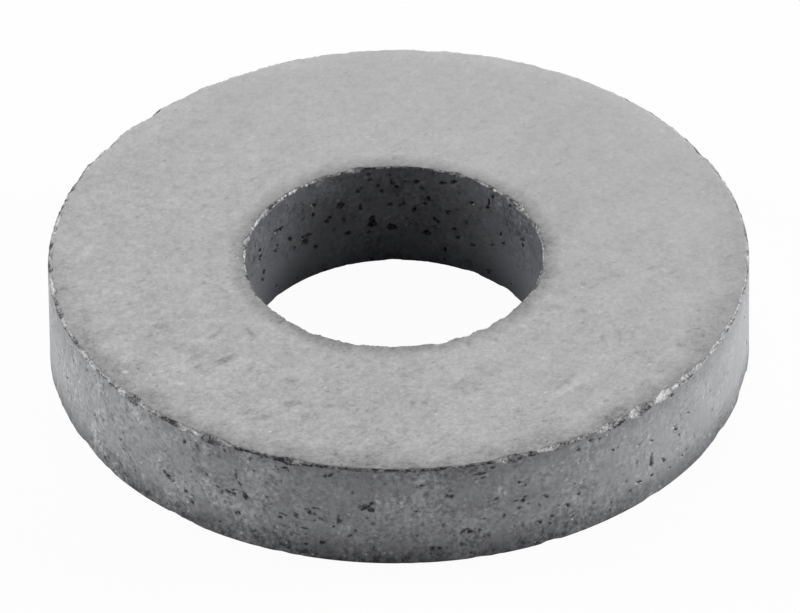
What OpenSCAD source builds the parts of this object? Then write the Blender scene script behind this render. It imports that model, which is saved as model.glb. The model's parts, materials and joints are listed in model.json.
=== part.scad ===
// Ring magnet of dry-pressed, sintered ferrite, with both flat faces ground and
// the walls left as they came from the kiln. Millimetres, +Z up. The origin is the
// centre of the lower face, which rests on the bench.

/* [Ring] */
// Outer diameter
outer_d = 28.6; // [18:0.1:60]
// Diameter of the bore through the middle
bore_d = 12.1; // [6:0.1:14]
// How far the bore sits off the middle, towards -X, as it came out of the press
bore_offset = 0.18; // [0:0.01:0.3]
// Thickness between the two ground faces
thickness = 4.8; // [3:0.1:12]

/* [Edges] */
// Width of the crumbled break along the outer edges
outer_break = 0.16; // [0.1:0.01:0.4]
// Width of the crumbled break along the edges of the bore
bore_break = 0.1; // [0.08:0.01:0.3]

/* [Small chips] */
// Small chips along each outer edge, besides the large ones
outer_crumbs = 14; // [0:1:20]
// Small chips along each edge of the bore
bore_crumbs = 8; // [0:1:12]
// Length of the longest small chip
crumb_length = 0.9; // [0.5:0.05:1.2]
// Depth of the deepest small chip
crumb_depth = 0.1; // [0.05:0.01:0.12]

/* [Small pores] */
// Small pores over the outer wall, besides the large ones
wall_pores = 26; // [0:1:40]
// Small pores over the bore's wall
bore_pores = 20; // [0:1:30]
// Radius of the widest small pore
pore_r = 0.12; // [0.06:0.01:0.2]

/* [Hidden] */

outer_r = outer_d / 2;
bore_r = bore_d / 2;

// Large chips: angle round the ring from +X in degrees, length along the edge, depth.
top_outer_chips = [
    [29, 0.9, 0.12], [64, 0.7, 0.06], [128, 1.6, 0.10], [136, 1.3, 0.17], [146, 1.2, 0.15],
    [157, 0.9, 0.08], [221, 1.0, 0.16], [238, 1.5, 0.14], [252, 1.0, 0.15], [288, 1.1, 0.16],
    [296, 0.8, 0.12], [307, 1.2, 0.16], [313, 1.3, 0.18], [319, 1.0, 0.15], [325, 1.1, 0.14]
];
bottom_outer_chips = [
    [58, 1.2, 0.12], [118, 1.0, 0.10], [172, 1.4, 0.13], [207, 0.9, 0.10], [214, 0.8, 0.08],
    [295, 0.9, 0.10], [348, 2.2, 0.30]
];
top_bore_chips = [
    [17, 0.6, 0.08], [104, 0.8, 0.10], [148, 0.7, 0.08], [236, 0.7, 0.08], [288, 0.9, 0.12],
    [298, 0.8, 0.09], [308, 0.7, 0.09], [318, 0.7, 0.08]
];
bottom_bore_chips = [[40, 0.8, 0.10], [165, 0.7, 0.09], [260, 0.9, 0.11]];

// Large pores: angle round the ring, share of the thickness above the lower face, radius.
large_wall_pores = [
    [229, 0.40, 0.17], [242, 0.50, 0.14], [244, 0.51, 0.18], [255, 0.49, 0.16],
    [260, 0.44, 0.15], [265, 0.58, 0.20], [276, 0.16, 0.12], [278, 0.70, 0.14],
    [281, 0.30, 0.17], [290, 0.53, 0.15], [294, 0.50, 0.14], [298, 0.33, 0.14],
    [315, 0.36, 0.18], [318, 0.30, 0.14], [321, 0.54, 0.16], [74, 0.42, 0.19],
    [112, 0.61, 0.17], [163, 0.33, 0.16], [12, 0.55, 0.16]
];
large_bore_pores = [
    [29, 0.63, 0.13], [58, 0.30, 0.11], [68, 0.58, 0.14], [77, 0.32, 0.17], [91, 0.36, 0.19],
    [98, 0.40, 0.19], [108, 0.35, 0.13], [111, 0.66, 0.17], [117, 0.53, 0.13],
    [122, 0.30, 0.12], [127, 0.40, 0.17], [135, 0.52, 0.13], [140, 0.69, 0.15],
    [155, 0.60, 0.18], [198, 0.45, 0.16], [236, 0.62, 0.17], [274, 0.35, 0.18],
    [309, 0.55, 0.15], [340, 0.40, 0.17]
];

// Radius of a pore's floor, as a share of its radius where it meets the wall.
pore_floor = 0.6;

// Steps by the golden angle and the golden ratio spread things that are counted off
// one by one without ever lining them up.
golden_angle = 137.508;
golden_ratio = 0.618;

// The part of a number after its decimal point.
function after_point(x) = x - floor(x);

// Between 0.5 and 1, different for each count.
function share(i) = 0.75 + 0.25 * sin(i * 77);

// Small chips along one edge, in the form of the large ones.
function crumbs(count, start) = [
    for (i = [0 : count - 1])
        [start + i * golden_angle, crumb_length * share(i), crumb_depth * share(i + 5)]
];

// Small pores over one wall, in the form of the large ones.
function small_pores(count, start) = [
    for (i = [0 : count - 1])
        [start + i * golden_angle, 0.08 + 0.84 * after_point(i * golden_ratio), pore_r * share(i)]
];

// Radius of the round dish that a chip of this length and depth leaves.
function dish_r(length, depth) = (length * length / 4 + depth * depth) / (2 * depth);

// Half of the outer wall's section, with its two edges broken at 45 degrees.
module outer_section() {
    polygon([
        [0, 0],
        [outer_r - outer_break, 0],
        [outer_r, outer_break],
        [outer_r, thickness - outer_break],
        [outer_r - outer_break, thickness],
        [0, thickness]
    ]);
}

// Half of the bore's section, opening out at 45 degrees at both ends and running on past
// the faces.
module bore_section() {
    polygon([
        [0, -bore_break],
        [bore_r + 2 * bore_break, -bore_break],
        [bore_r, bore_break],
        [bore_r, thickness - bore_break],
        [bore_r + 2 * bore_break, thickness + bore_break],
        [0, thickness + bore_break]
    ]);
}

// Dishes out of one edge. The middle of the edge is at edge_r from the axis and edge_z
// up, and it faces [out, up], where each is 1 or -1.
module chips(sizes, edge_r, edge_z, out, up) {
    for (size = sizes) {
        reach = (dish_r(size[1], size[2]) - size[2]) * sqrt(0.5);
        rotate([0, 0, size[0]])
            translate([edge_r + out * reach, 0, edge_z + up * reach])
                sphere(r = dish_r(size[1], size[2]), $fn = 48);
    }
}

module outer_chips(sizes, face_z, up) {
    chips(sizes, outer_r - outer_break / 2, face_z - up * outer_break / 2, 1, up);
}

module bore_chips(sizes, face_z, up) {
    chips(sizes, bore_r + bore_break / 2, face_z - up * bore_break / 2, -1, up);
}

// Pores into a wall of this radius, wide at the mouth and narrow at the floor. They open
// away from the axis where out is 1, and towards it where out is -1.
module pores(sizes, wall_r, out) {
    for (size = sizes)
        rotate([0, 0, size[0]])
            translate([wall_r - out * size[2], 0, size[1] * thickness])
                rotate([0, out * 90, 0])
                    cylinder(
                        h = 2 * size[2],
                        r1 = pore_floor * size[2],
                        r2 = (2 - pore_floor) * size[2],
                        $fn = 24
                    );
}

// The bore with the chips along its edges and the pores in its wall, about its own axis.
module bore() {
    rotate_extrude($fn = 180) bore_section();
    bore_chips(top_bore_chips, thickness, 1);
    bore_chips(crumbs(bore_crumbs, 65), thickness, 1);
    bore_chips(bottom_bore_chips, 0, -1);
    bore_chips(crumbs(bore_crumbs, 90), 0, -1);
    pores(large_bore_pores, bore_r, -1);
    pores(small_pores(bore_pores, 50), bore_r, -1);
}

module magnet_ring() {
    color([0.62, 0.63, 0.65])
        difference() {
            rotate_extrude($fn = 180) outer_section();
            outer_chips(top_outer_chips, thickness, 1);
            outer_chips(crumbs(outer_crumbs, 12), thickness, 1);
            outer_chips(bottom_outer_chips, 0, -1);
            outer_chips(crumbs(outer_crumbs, 40), 0, -1);
            pores(large_wall_pores, outer_r, 1);
            pores(small_pores(wall_pores, 20), outer_r, 1);
            translate([-bore_offset, 0, 0]) bore();
        }
}

magnet_ring();
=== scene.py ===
"""Dresses a ring magnet: the ring of sintered ferrite with its crumbled edges and pores,
and the stage it lies on.

Lengths are metres, and the frame is the CAD's: +Z up, the origin at the centre of the
lower face. MM turns millimetres into metres.
"""

import json
import math
import random

import bmesh
import bpy
from bpy.props import FloatProperty, FloatVectorProperty, IntProperty, PointerProperty
from mathutils import Matrix, Vector, noise
from mathutils.kdtree import KDTree


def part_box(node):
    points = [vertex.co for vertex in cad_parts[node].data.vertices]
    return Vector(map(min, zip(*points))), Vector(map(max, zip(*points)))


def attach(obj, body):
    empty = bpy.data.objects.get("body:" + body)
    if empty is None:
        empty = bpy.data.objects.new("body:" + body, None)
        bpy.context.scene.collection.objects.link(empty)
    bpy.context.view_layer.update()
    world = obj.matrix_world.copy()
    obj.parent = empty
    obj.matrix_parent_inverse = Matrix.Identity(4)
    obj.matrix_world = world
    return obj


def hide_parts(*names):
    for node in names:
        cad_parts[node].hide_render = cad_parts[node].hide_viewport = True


bl_info = {
    "name": "Ring Magnet",
    "version": (1, 0, 0),
    "blender": (4, 5, 0),
    "location": "View3D > Sidebar > Ring Magnet",
    "description": "Builds a sintered ferrite ring magnet with crumbled edges, and its stage",
    "category": "Object",
}

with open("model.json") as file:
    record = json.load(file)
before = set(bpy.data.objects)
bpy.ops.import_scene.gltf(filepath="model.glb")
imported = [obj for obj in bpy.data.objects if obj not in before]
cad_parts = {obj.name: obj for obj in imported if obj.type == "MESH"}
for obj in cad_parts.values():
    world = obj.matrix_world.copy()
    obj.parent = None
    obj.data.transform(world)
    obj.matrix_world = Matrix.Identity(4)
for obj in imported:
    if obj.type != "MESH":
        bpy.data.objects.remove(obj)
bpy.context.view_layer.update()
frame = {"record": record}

MM = 0.001
NODE = "magnet_ring"

RING_LOW, RING_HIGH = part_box(NODE)
OUTER_D = RING_HIGH[0] - RING_LOW[0]
THICKNESS = RING_HIGH[2] - RING_LOW[2]
BORE = next(mount for mount in frame["record"]["mounts"] if mount["name"] == "bore")
BORE_D = 2 * MM * BORE["dims"]["r_mm"]
BORE_OFFSET = -BORE["pos_m"][0]

# The chips and pores that follow stand where the solid has them.
# Chips: angle round the ring from +X in degrees, length along the edge and depth in
# millimetres.
TOP_OUTER_CHIPS = [
    (29, 0.9, 0.12), (64, 0.7, 0.06), (128, 1.6, 0.1), (136, 1.3, 0.17), (146, 1.2, 0.15),
    (157, 0.9, 0.08), (221, 1.0, 0.16), (238, 1.5, 0.14), (252, 1.0, 0.15), (288, 1.1, 0.16),
    (296, 0.8, 0.12), (307, 1.2, 0.16), (313, 1.3, 0.18), (319, 1.0, 0.15), (325, 1.1, 0.14),
]
BOTTOM_OUTER_CHIPS = [
    (58, 1.2, 0.12), (118, 1.0, 0.1), (172, 1.4, 0.13), (207, 0.9, 0.1), (214, 0.8, 0.08),
    (295, 0.9, 0.1), (348, 2.2, 0.3),
]
TOP_BORE_CHIPS = [
    (17, 0.6, 0.08), (104, 0.8, 0.1), (148, 0.7, 0.08), (236, 0.7, 0.08), (288, 0.9, 0.12),
    (298, 0.8, 0.09), (308, 0.7, 0.09), (318, 0.7, 0.08),
]
BOTTOM_BORE_CHIPS = [(40, 0.8, 0.1), (165, 0.7, 0.09), (260, 0.9, 0.11)]

# Pores: angle in degrees, share of the thickness above the lower face, radius in
# millimetres.
WALL_PORES = [
    (229, 0.4, 0.17), (242, 0.5, 0.14), (244, 0.51, 0.18), (255, 0.49, 0.16),
    (260, 0.44, 0.15), (265, 0.58, 0.2), (276, 0.16, 0.12), (278, 0.7, 0.14),
    (281, 0.3, 0.17), (290, 0.53, 0.15), (294, 0.5, 0.14), (298, 0.33, 0.14),
    (315, 0.36, 0.18), (318, 0.3, 0.14), (321, 0.54, 0.16), (74, 0.42, 0.19),
    (112, 0.61, 0.17), (163, 0.33, 0.16), (12, 0.55, 0.16),
]
BORE_PORES = [
    (29, 0.63, 0.13), (58, 0.3, 0.11), (68, 0.58, 0.14), (77, 0.32, 0.17), (91, 0.36, 0.19),
    (98, 0.4, 0.19), (108, 0.35, 0.13), (111, 0.66, 0.17), (117, 0.53, 0.13),
    (122, 0.3, 0.12), (127, 0.4, 0.17), (135, 0.52, 0.13), (140, 0.69, 0.15),
    (155, 0.6, 0.18), (198, 0.45, 0.16), (236, 0.62, 0.17), (274, 0.35, 0.18),
    (309, 0.55, 0.15), (340, 0.4, 0.17),
]

# Cracks and torn pits that only the dressed ring has: angle in degrees, height above the
# lower face, length and width in millimetres, and the degrees by which the long way
# climbs to the right, seen from in front of the wall. The pits are open and the dents
# shallow.
WALL_PITS = [
    (228.4, 2.0, 0.4, 0.18, -45), (229.3, 1.8, 0.18, 0.14, 0), (230.1, 1.8, 0.2, 0.12, 30),
    (232.6, 1.6, 0.18, 0.16, 0), (232.5, 4.1, 0.22, 0.16, 60), (238.7, 2.5, 0.18, 0.1, -20),
    (239.7, 2.3, 0.22, 0.1, 90), (241.0, 2.4, 0.38, 0.16, -30), (242.0, 2.6, 0.3, 0.1, 10),
    (242.4, 3.4, 0.45, 0.1, 90), (243.1, 3.0, 0.3, 0.12, -50), (243.9, 2.5, 0.36, 0.18, -60),
    (245.5, 0.8, 0.16, 0.14, 0), (250.8, 2.0, 0.3, 0.1, -20), (252.7, 2.1, 0.22, 0.18, 60),
    (251.0, 4.4, 0.3, 0.12, 0), (254.6, 2.5, 0.3, 0.1, 5), (255.2, 2.3, 0.16, 0.12, 0),
    (256.0, 2.6, 0.28, 0.1, -5), (257.0, 2.1, 0.34, 0.12, -30), (254.0, 1.5, 0.26, 0.1, 0),
    (257.8, 4.3, 0.18, 0.16, 0), (257.0, 0.9, 0.25, 0.2, 0), (254.5, 0.7, 0.2, 0.14, 0),
    (258.6, 4.4, 0.32, 0.16, 45), (259.7, 2.2, 0.55, 0.12, 88), (259.0, 1.8, 0.14, 0.1, 0),
    (262.1, 3.6, 0.2, 0.12, 80), (261.6, 1.4, 0.26, 0.1, 35), (263.3, 2.9, 0.16, 0.12, 30),
    (264.3, 2.9, 0.4, 0.26, 30), (265.2, 3.1, 0.22, 0.16, -30), (265.4, 2.7, 0.16, 0.12, 60),
    (273.3, 4.0, 0.36, 0.1, -5), (275.0, 0.8, 0.18, 0.16, 0), (277.4, 3.4, 0.16, 0.14, 30),
    (279.9, 1.5, 0.36, 0.14, 40), (280.7, 1.6, 0.14, 0.1, 0), (282.8, 4.3, 0.6, 0.1, 0),
    (283.2, 4.1, 0.28, 0.1, 15), (284.8, 4.5, 0.14, 0.14, 0), (283.5, 2.0, 0.24, 0.08, 0),
    (283.4, 1.1, 0.1, 0.1, 0), (284.2, 1.1, 0.1, 0.1, 0), (285.4, 2.9, 0.14, 0.12, 0),
    (286.8, 2.0, 0.12, 0.12, 0), (288.7, 2.6, 0.28, 0.1, 0), (290.1, 2.7, 0.28, 0.1, 5),
    (289.3, 2.2, 0.16, 0.12, 0), (290.8, 2.3, 0.22, 0.08, -10), (289.3, 3.5, 0.16, 0.12, -60),
    (290.4, 3.3, 0.12, 0.1, 0), (293.7, 2.5, 0.28, 0.1, 0), (292.9, 1.2, 0.2, 0.16, 0),
    (292.8, 2.1, 0.24, 0.08, -70), (297.7, 1.7, 0.28, 0.12, 0), (298.8, 1.0, 0.22, 0.1, 30),
    (302.1, 4.5, 0.2, 0.16, 0), (304.0, 4.4, 0.2, 0.1, 0), (306.7, 3.5, 0.2, 0.12, -50),
    (312.0, 3.1, 0.18, 0.1, -20), (312.0, 1.2, 0.42, 0.14, -20), (310.3, 1.0, 0.12, 0.1, 0),
    (315.0, 2.9, 0.22, 0.14, -30), (315.0, 1.9, 0.66, 0.16, 85), (317.8, 1.6, 0.28, 0.1, -40),
    (319.5, 0.9, 0.22, 0.1, 0), (320.0, 4.5, 0.22, 0.2, 0), (320.6, 2.8, 0.34, 0.12, -5),
    (322.0, 2.2, 0.16, 0.12, -50), (322.8, 1.0, 0.22, 0.1, -40), (324.6, 2.9, 0.28, 0.1, -40),
]
WALL_DENTS = [
    (204.0, 3.3, 0.25, 0.2, 0), (207.5, 3.2, 0.25, 0.15, 60), (212.5, 2.5, 0.35, 0.2, 0),
    (218.3, 3.4, 0.35, 0.16, 90), (215.0, 1.1, 0.25, 0.12, 20), (214.0, 0.8, 0.3, 0.12, 40),
    (223.0, 3.1, 0.5, 0.08, 90), (227.3, 2.2, 0.25, 0.08, 90), (230.6, 1.4, 0.14, 0.12, 0),
    (238.2, 3.8, 0.14, 0.12, 0), (239.8, 2.9, 0.15, 0.12, 0), (246.2, 3.9, 0.14, 0.1, 0),
    (257.5, 3.5, 0.14, 0.12, 0), (253.8, 3.5, 0.2, 0.08, 90), (264.3, 1.5, 0.26, 0.12, 80),
    (266.6, 2.8, 0.38, 0.12, 40), (267.9, 2.0, 0.3, 0.1, 0), (269.8, 1.2, 0.3, 0.1, 80),
    (271.3, 3.4, 0.42, 0.06, 88), (274.6, 4.1, 0.4, 0.05, 15), (277.7, 4.0, 0.22, 0.1, -50),
    (278.0, 3.7, 0.4, 0.2, 80), (279.3, 2.0, 0.6, 0.12, 50), (286.5, 3.2, 0.3, 0.06, 90),
    (288.3, 4.4, 0.5, 0.2, -20), (288.5, 1.9, 0.34, 0.16, -20), (289.0, 1.1, 0.32, 0.08, 90),
    (301.3, 4.2, 0.12, 0.1, 0), (300.3, 3.7, 0.14, 0.1, 0), (301.0, 2.3, 0.24, 0.07, -20),
    (309.4, 1.6, 0.22, 0.18, 0), (322.5, 2.9, 0.3, 0.12, -30), (320.6, 2.3, 0.22, 0.12, -20),
    (322.8, 2.4, 0.22, 0.1, -20), (324.0, 1.7, 0.34, 0.1, -70), (326.2, 1.5, 0.34, 0.12, -70),
    (325.7, 1.0, 0.24, 0.14, -40),
]
BORE_PITS = [
    (143.8, 2.4, 0.2, 0.18, 0), (142.5, 2.6, 0.16, 0.12, 0), (152.0, 1.9, 0.22, 0.18, -30),
    (153.5, 1.6, 0.26, 0.2, -30), (132.2, 1.9, 0.16, 0.14, 0), (126.0, 2.2, 0.24, 0.18, 20),
    (124.9, 2.2, 0.16, 0.12, 0), (128.4, 2.2, 0.22, 0.18, 0), (123.0, 3.1, 0.2, 0.14, 90),
    (115.6, 2.7, 0.18, 0.14, 0), (109.8, 2.4, 0.2, 0.18, 0), (103.0, 2.9, 0.32, 0.14, 90),
    (104.0, 3.7, 0.18, 0.16, 0), (99.7, 4.5, 0.2, 0.14, 0), (99.5, 4.2, 0.14, 0.12, 0),
    (98.5, 2.2, 0.34, 0.26, 80), (96.0, 3.9, 0.16, 0.12, 90), (94.5, 3.6, 0.16, 0.12, 90),
    (90.8, 4.1, 0.18, 0.12, 90), (91.0, 2.9, 0.18, 0.16, 0), (88.8, 3.8, 0.18, 0.18, 0),
    (81.0, 4.1, 0.18, 0.16, 0), (78.8, 3.8, 0.18, 0.18, 0), (76.3, 3.3, 0.26, 0.14, 90),
    (86.5, 2.9, 0.26, 0.14, 20), (81.8, 2.7, 0.34, 0.14, 85), (77.5, 3.0, 0.14, 0.12, 0),
    (73.8, 2.3, 0.22, 0.14, -40), (72.5, 2.2, 0.2, 0.14, 0), (73.8, 1.9, 0.14, 0.12, 0),
    (70.0, 4.2, 0.3, 0.18, 20), (65.4, 4.4, 0.22, 0.18, 0), (57.7, 3.6, 0.2, 0.16, 0),
    (50.0, 3.7, 0.24, 0.22, 0), (49.7, 4.0, 0.4, 0.1, 90), (65.5, 2.0, 0.2, 0.14, 30),
    (64.0, 1.6, 0.18, 0.16, 0), (48.0, 1.9, 0.26, 0.12, 25), (42.0, 2.3, 0.22, 0.14, 50),
    (43.5, 2.7, 0.34, 0.1, 75), (29.3, 3.3, 0.22, 0.18, 50), (37.5, 4.5, 0.22, 0.18, 0),
    (47.5, 4.4, 0.2, 0.12, 80), (69.8, 0.8, 0.22, 0.14, 80), (60.0, 0.5, 0.3, 0.14, 0),
    (50.0, 0.5, 0.5, 0.1, 20), (143.5, 0.6, 0.2, 0.12, 0),
]
BORE_DENTS = [
    (134.5, 2.0, 0.24, 0.2, 90), (128.0, 3.1, 0.16, 0.14, 0), (148.5, 4.1, 0.5, 0.12, 20),
    (113.5, 2.0, 0.2, 0.16, 90), (99.5, 2.7, 0.2, 0.12, 90), (101.0, 3.2, 0.2, 0.12, 90),
    (60.8, 2.5, 0.3, 0.24, 0), (53.5, 3.5, 0.26, 0.12, 60), (39.5, 3.4, 0.2, 0.14, 60),
    (63.0, 3.9, 0.2, 0.16, 0), (84.0, 3.4, 0.16, 0.14, 0), (35.0, 4.5, 0.2, 0.12, 60),
    (69.0, 1.1, 0.24, 0.16, 0), (42.0, 4.3, 0.2, 0.14, 0),
]

# Arcs of an edge that are strewn with fine chips: first and last angle, how many, the
# longest and deepest in millimetres, how pale they broke, from 0, old and dirty, to 1,
# fresh, and how wide and how rough the break is, as shares of the whole.
TOP_OUTER_FINES = [
    (196, 214, 34, 0.24, 0.05, 0.34, 0.85, 0.9), (214, 240, 60, 0.28, 0.07, 0.36, 0.95, 0.9),
    (240, 286, 40, 0.2, 0.04, 0.36, 0.78, 1.0), (286, 304, 50, 0.24, 0.07, 0.56, 0.85, 1.0),
    (304, 328, 80, 0.24, 0.08, 0.58, 0.9, 1.1), (328, 347, 40, 0.18, 0.04, 0.4, 0.7, 0.9),
    (347, 376, 30, 0.18, 0.04, 0.45, 0.72, 0.7), (376, 470, 60, 0.24, 0.04, 0.45, 0.98, 0.5),
    (470, 512, 60, 0.44, 0.09, 0.5, 1.0, 1.3), (512, 556, 50, 0.36, 0.06, 0.38, 1.1, 1.2),
]
BOTTOM_OUTER_FINES = [
    (190, 212, 10, 0.24, 0.03, 0.12, 2.0, 0.2), (212, 234, 10, 0.24, 0.03, 0.12, 1.2, 0.2),
    (234, 330, 20, 0.22, 0.02, 0.12, 0.6, 0.1), (330, 550, 60, 0.24, 0.03, 0.12, 1.0, 0.2),
]
TOP_BORE_FINES = [
    (-30, 60, 60, 0.2, 0.05, 0.46, 0.9, 0.7), (60, 120, 60, 0.18, 0.04, 0.36, 0.62, 0.8),
    (120, 215, 80, 0.22, 0.05, 0.5, 0.9, 0.5), (215, 330, 50, 0.26, 0.05, 0.45, 0.4, 1.0),
]
BOTTOM_BORE_FINES = [(0, 360, 20, 0.24, 0.02, 0.08, 0.3, 0.1)]

# Marks on the upper face, rubbed in or torn out: x, y, length and width in millimetres,
# the angle of the long way in degrees, and how much paler or darker.
FACE_MARKS = [
    (-4.4, -8.3, 0.55, 0.45, 60, -0.22), (-7.0, -6.8, 1.0, 0.38, 40, -0.24),
    (-4.3, -9.8, 1.0, 0.32, 0, -0.26), (-6.1, -10.3, 0.55, 0.2, 38, -0.3),
    (-5.6, -10.7, 0.6, 0.35, 10, -0.18), (-6.5, -10.8, 1.4, 0.14, 42, 0.2),
    (-6.0, -5.1, 1.0, 0.18, 122, -0.24), (-7.5, -5.2, 0.7, 0.2, 48, -0.22),
    (-8.6, -6.1, 1.8, 0.7, 160, -0.14), (-9.5, -4.5, 0.7, 0.45, 30, -0.14),
    (-8.3, -6.7, 0.6, 0.35, 50, -0.18), (-8.2, -7.3, 0.35, 0.25, 50, -0.18),
    (-6.0, -7.3, 0.6, 0.3, 80, -0.18), (-11.0, -3.0, 0.25, 0.2, 0, -0.2),
    (-10.2, -0.9, 0.35, 0.18, 90, -0.22), (-12.7, -4.0, 0.4, 0.25, 90, -0.2),
    (-3.8, -10.7, 0.5, 0.25, 70, -0.16), (-2.0, -7.4, 0.4, 0.3, 30, -0.16),
    (-2.9, -10.0, 0.45, 0.2, 30, -0.18), (-0.8, -11.8, 0.35, 0.22, 100, -0.2),
    (-11.1, -7.6, 0.24, 0.22, 0, 0.55), (-8.8, -8.4, 0.22, 0.2, 0, 0.3),
    (-11.9, -5.8, 0.4, 0.3, 40, 0.18), (-6.9, -2.2, 0.3, 0.26, 0, 0.18),
    (-11.3, -6.8, 1.0, 0.5, 40, 0.08), (4.8, -10.4, 0.4, 0.26, 10, -0.24),
    (0.5, -9.9, 0.32, 0.22, 80, -0.24), (1.0, -9.8, 0.26, 0.22, 60, -0.24),
    (0.1, -8.0, 0.4, 0.3, 40, -0.14), (3.2, -7.6, 0.28, 0.24, 0, -0.2),
    (3.9, -5.7, 0.3, 0.18, 90, -0.22), (2.8, -6.0, 0.32, 0.16, 80, -0.18),
    (7.5, -2.1, 0.26, 0.22, 40, -0.2), (7.5, -3.9, 0.26, 0.24, 0, -0.2),
    (8.3, -1.8, 0.4, 0.18, 45, -0.18), (10.2, -1.0, 0.4, 0.32, 10, -0.18),
    (8.2, -5.7, 0.45, 0.22, 80, -0.18), (8.9, -5.4, 0.5, 0.4, 20, -0.12),
    (6.2, -3.6, 0.8, 0.28, 0, -0.12), (11.3, -6.2, 0.26, 0.22, 0, -0.2),
    (12.3, -5.6, 0.24, 0.2, 0, -0.2), (9.3, -4.0, 0.4, 0.18, 45, -0.18),
    (6.6, -8.7, 0.9, 0.22, 50, -0.14), (6.9, -8.9, 2.6, 0.34, 43, 0.15),
    (1.1, -6.6, 0.34, 0.28, 0, 0.24), (5.0, -4.8, 0.28, 0.24, 0, 0.2),
    (6.2, -3.0, 0.8, 0.5, 0, 0.1), (1.6, -7.5, 0.8, 0.18, 130, -0.14),
    (2.6, -8.6, 0.9, 0.5, 30, -0.1), (0.2, -11.7, 0.32, 0.22, 60, -0.2),
    (3.3, -12.7, 0.36, 0.22, 90, -0.18), (6.6, -11.9, 0.26, 0.2, 90, -0.18),
]

# Pale grains and scores on the walls: angle in degrees, height above the lower face,
# length and width in millimetres, the lean as above, and how much paler.
WALL_GRAINS = [
    (223.2, 1.2, 0.24, 0.2, 0, 0.4), (227.9, 2.1, 0.2, 0.16, 0, 0.24),
    (236.5, 4.3, 0.26, 0.2, 20, 0.26), (235.8, 3.8, 0.2, 0.18, 0, 0.26),
    (236.5, 3.4, 0.24, 0.18, 0, 0.26), (249.3, 4.0, 0.2, 0.16, 0, 0.24),
    (255.0, 4.3, 0.5, 0.14, 60, 0.24), (245.0, 2.6, 0.2, 0.16, 0, 0.28),
    (242.0, 1.8, 0.3, 0.16, 30, 0.22), (238.3, 2.6, 0.22, 0.14, 0, 0.2),
    (266.0, 3.5, 0.22, 0.18, 0, 0.22), (262.2, 2.4, 0.3, 0.16, 60, 0.22),
    (261.5, 1.8, 0.3, 0.18, 20, 0.24), (263.0, 1.3, 0.26, 0.16, 0, 0.22),
    (260.0, 3.3, 0.55, 0.12, -40, 0.2), (257.4, 3.6, 0.5, 0.12, -40, 0.2),
    (273.0, 4.2, 0.5, 0.12, 10, 0.22), (278.0, 3.5, 0.2, 0.16, 0, 0.2),
    (279.0, 1.4, 0.22, 0.18, 0, 0.22), (286.0, 3.3, 0.45, 0.16, 80, 0.36),
    (286.9, 3.1, 0.3, 0.14, 80, 0.34), (299.0, 4.5, 0.2, 0.16, 0, 0.26),
    (302.5, 3.1, 0.2, 0.18, 0, 0.28), (297.5, 2.9, 0.18, 0.14, 0, 0.24),
    (297.5, 2.6, 0.18, 0.14, 0, 0.24), (300.0, 3.8, 0.2, 0.16, 0, 0.22),
    (284.0, 4.2, 0.3, 0.14, 20, 0.22), (268.5, 3.0, 0.22, 0.16, 0, 0.18),
    (308.0, 2.7, 0.24, 0.16, 0, 0.2), (315.0, 4.0, 0.22, 0.16, 0, 0.18),
    (249.0, 2.9, 0.22, 0.18, 0, 0.2), (252.0, 3.1, 0.2, 0.16, 0, 0.2),
]
BORE_GRAINS = [
    (100.8, 4.4, 0.22, 0.18, 0, 0.5), (92.8, 2.2, 0.2, 0.16, 0, 0.4),
    (96.8, 2.0, 0.2, 0.16, 0, 0.36), (67.5, 2.8, 0.22, 0.18, 0, 0.5),
    (65.6, 4.2, 0.22, 0.16, 0, 0.46), (44.0, 4.2, 0.24, 0.18, 0, 0.46),
    (38.8, 4.6, 0.22, 0.16, 0, 0.4), (120.9, 4.6, 0.24, 0.18, 0, 0.46),
]

# The lamps: the angle round from the camera's side and the angle above the floor, the
# width and height in metres, and the power in watts.
LAMP_DISTANCE = 0.4
LAMPS = {
    "overhead": ((180, 68), (0.22, 0.22), 0.335),
    "right": ((102, 22), (0.16, 0.16), 1.12),
    "left": ((259, 22), (0.16, 0.16), 0.85),
    "behind": ((180, 22), (0.16, 0.16), 0.44),
    "low_right": ((104, 10), (0.3, 0.1), 0.64),
    "low_left": ((254, 10), (0.3, 0.1), 0.54),
    "low_front": ((0, 10), (0.3, 0.1), 0.13),
}

# The camera, in outer radii: how far back it stands, and how far to the right of the
# upper face's middle and below it its lens points. The lens is in millimetres.
CAMERA_BACK, LOOK_RIGHT, LOOK_BELOW = 49.4, 0.0027, 0.1447
LENS = 779.7
ASKEW = math.radians(-0.68)

# The floor's radius, and how far it lies below the ring, so that the two don't meet in
# one plane.
FLOOR_R = 1.6
FLOOR_GAP = 0.02 * MM

# The ring's finishes, in the order of its material slots.
GROUND, SKIN, BORE_SKIN, BROKEN = range(4)

# Steps by the golden angle and the golden ratio spread the small ones.
GOLDEN_ANGLE = 137.508
GOLDEN_RATIO = 0.618

# The closely meshed bands beside the edges, in which crumbs and chips have their form.
OUTER_BAND, BORE_BAND = 0.42 * MM, 0.30 * MM
# Nearer than this, points are one point.
TOUCH = 0.001 * MM
# A line whose ends differ by less in radius and in height runs level round the axis.
LEVEL = 0.0001 * MM
STEPS_ROUND = 300
MOST_TRIANGLES = 200000
# Edges between faces that meet more sharply than this stay sharp where they are shaded.
SHARP = math.radians(42)
# Cracks and pits of the unseen stretches of wall keep this far from the faces, in
# millimetres.
CLEAR_OF_FACES = 0.5
# How far the grain of the broken places stands up, along the upper and the lower edges.
UPPER_GRAIN, LOWER_GRAIN = 0.016 * MM, 0.004 * MM


def linear(hex_colour):
    """Turns an sRGB hex colour into the linear one that the shaders take, with its alpha."""
    parts = [int(hex_colour[i : i + 2], 16) / 255 for i in (0, 2, 4)]
    return (*(p / 12.92 if p <= 0.04045 else ((p + 0.055) / 1.055) ** 2.4 for p in parts), 1)


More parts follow.
